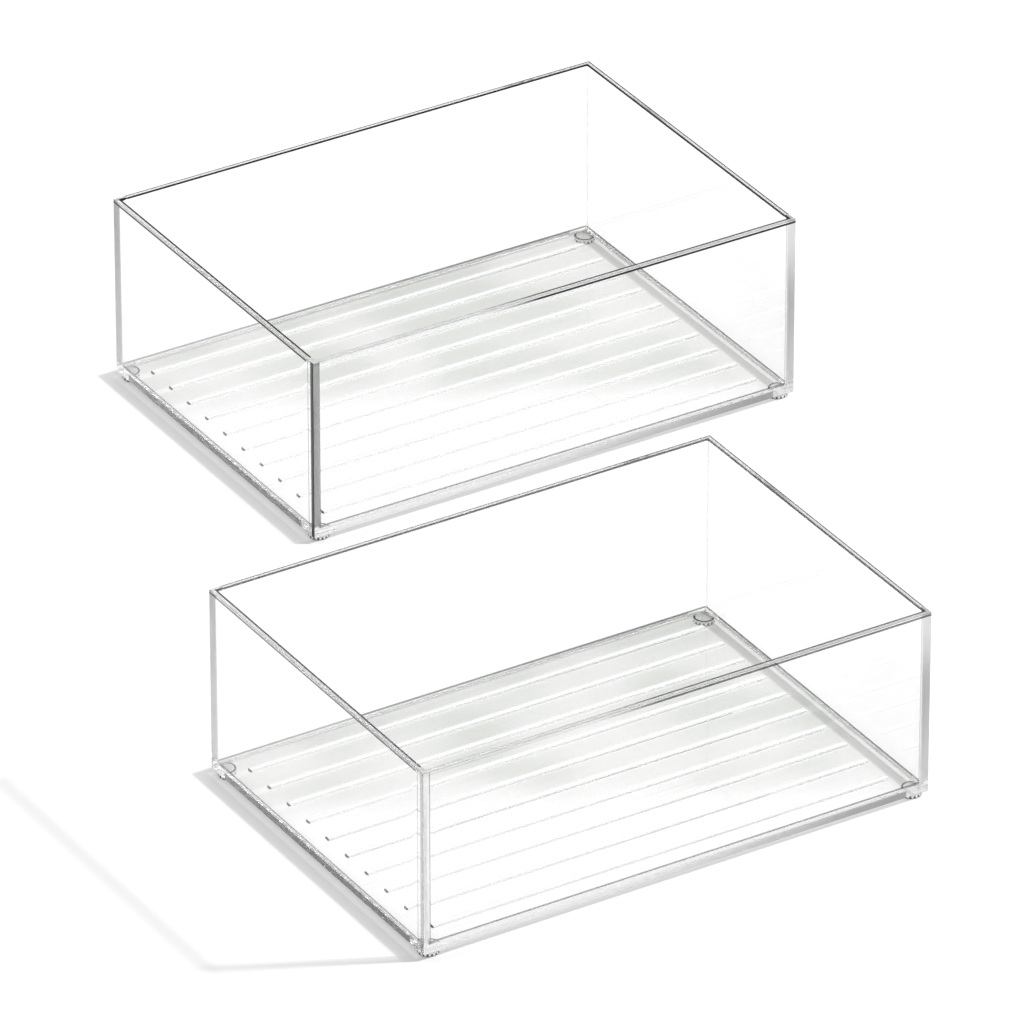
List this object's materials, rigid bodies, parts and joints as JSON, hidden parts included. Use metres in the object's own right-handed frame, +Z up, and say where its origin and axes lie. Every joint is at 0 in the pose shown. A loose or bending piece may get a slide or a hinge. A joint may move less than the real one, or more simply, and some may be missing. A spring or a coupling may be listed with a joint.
{
  "type": "cosmetics storage box pair",
  "caption": "Pair of clear open-topped rectangular boxes with straight walls, a ribbed floor and round corner foot pads, for make-up brushes and bottles.",
  "frame": {"origin": "on the surface that the foot pads stand on, midway between the two boxes", "axes": "+X along the long sides of the boxes, +Y from the front box to the rear box, +Z up"},
  "size_m": [0.4316, 0.5514, 0.102],
  "materials": {
    "clear_shell": "water-clear, polished, glossy",
    "clear_foot_pad": "clear soft pad, smooth"
  },
  "bodies": {
    "front_box_body": {"front_box": "clear_shell", "front_box_foot_front_left": "clear_foot_pad", "front_box_foot_front_right": "clear_foot_pad", "front_box_foot_rear_left": "clear_foot_pad", "front_box_foot_rear_right": "clear_foot_pad"},
    "rear_box_body": {"rear_box": "clear_shell", "rear_box_foot_front_left": "clear_foot_pad", "rear_box_foot_front_right": "clear_foot_pad", "rear_box_foot_rear_left": "clear_foot_pad", "rear_box_foot_rear_right": "clear_foot_pad"}
  },
  "joints": [
    {"name": "rear_box_lift", "type": "slide", "parent": "front_box_body", "child": "rear_box_body", "axis": [0, 0, 1], "range_m": [0, 0.15]}
  ]
}
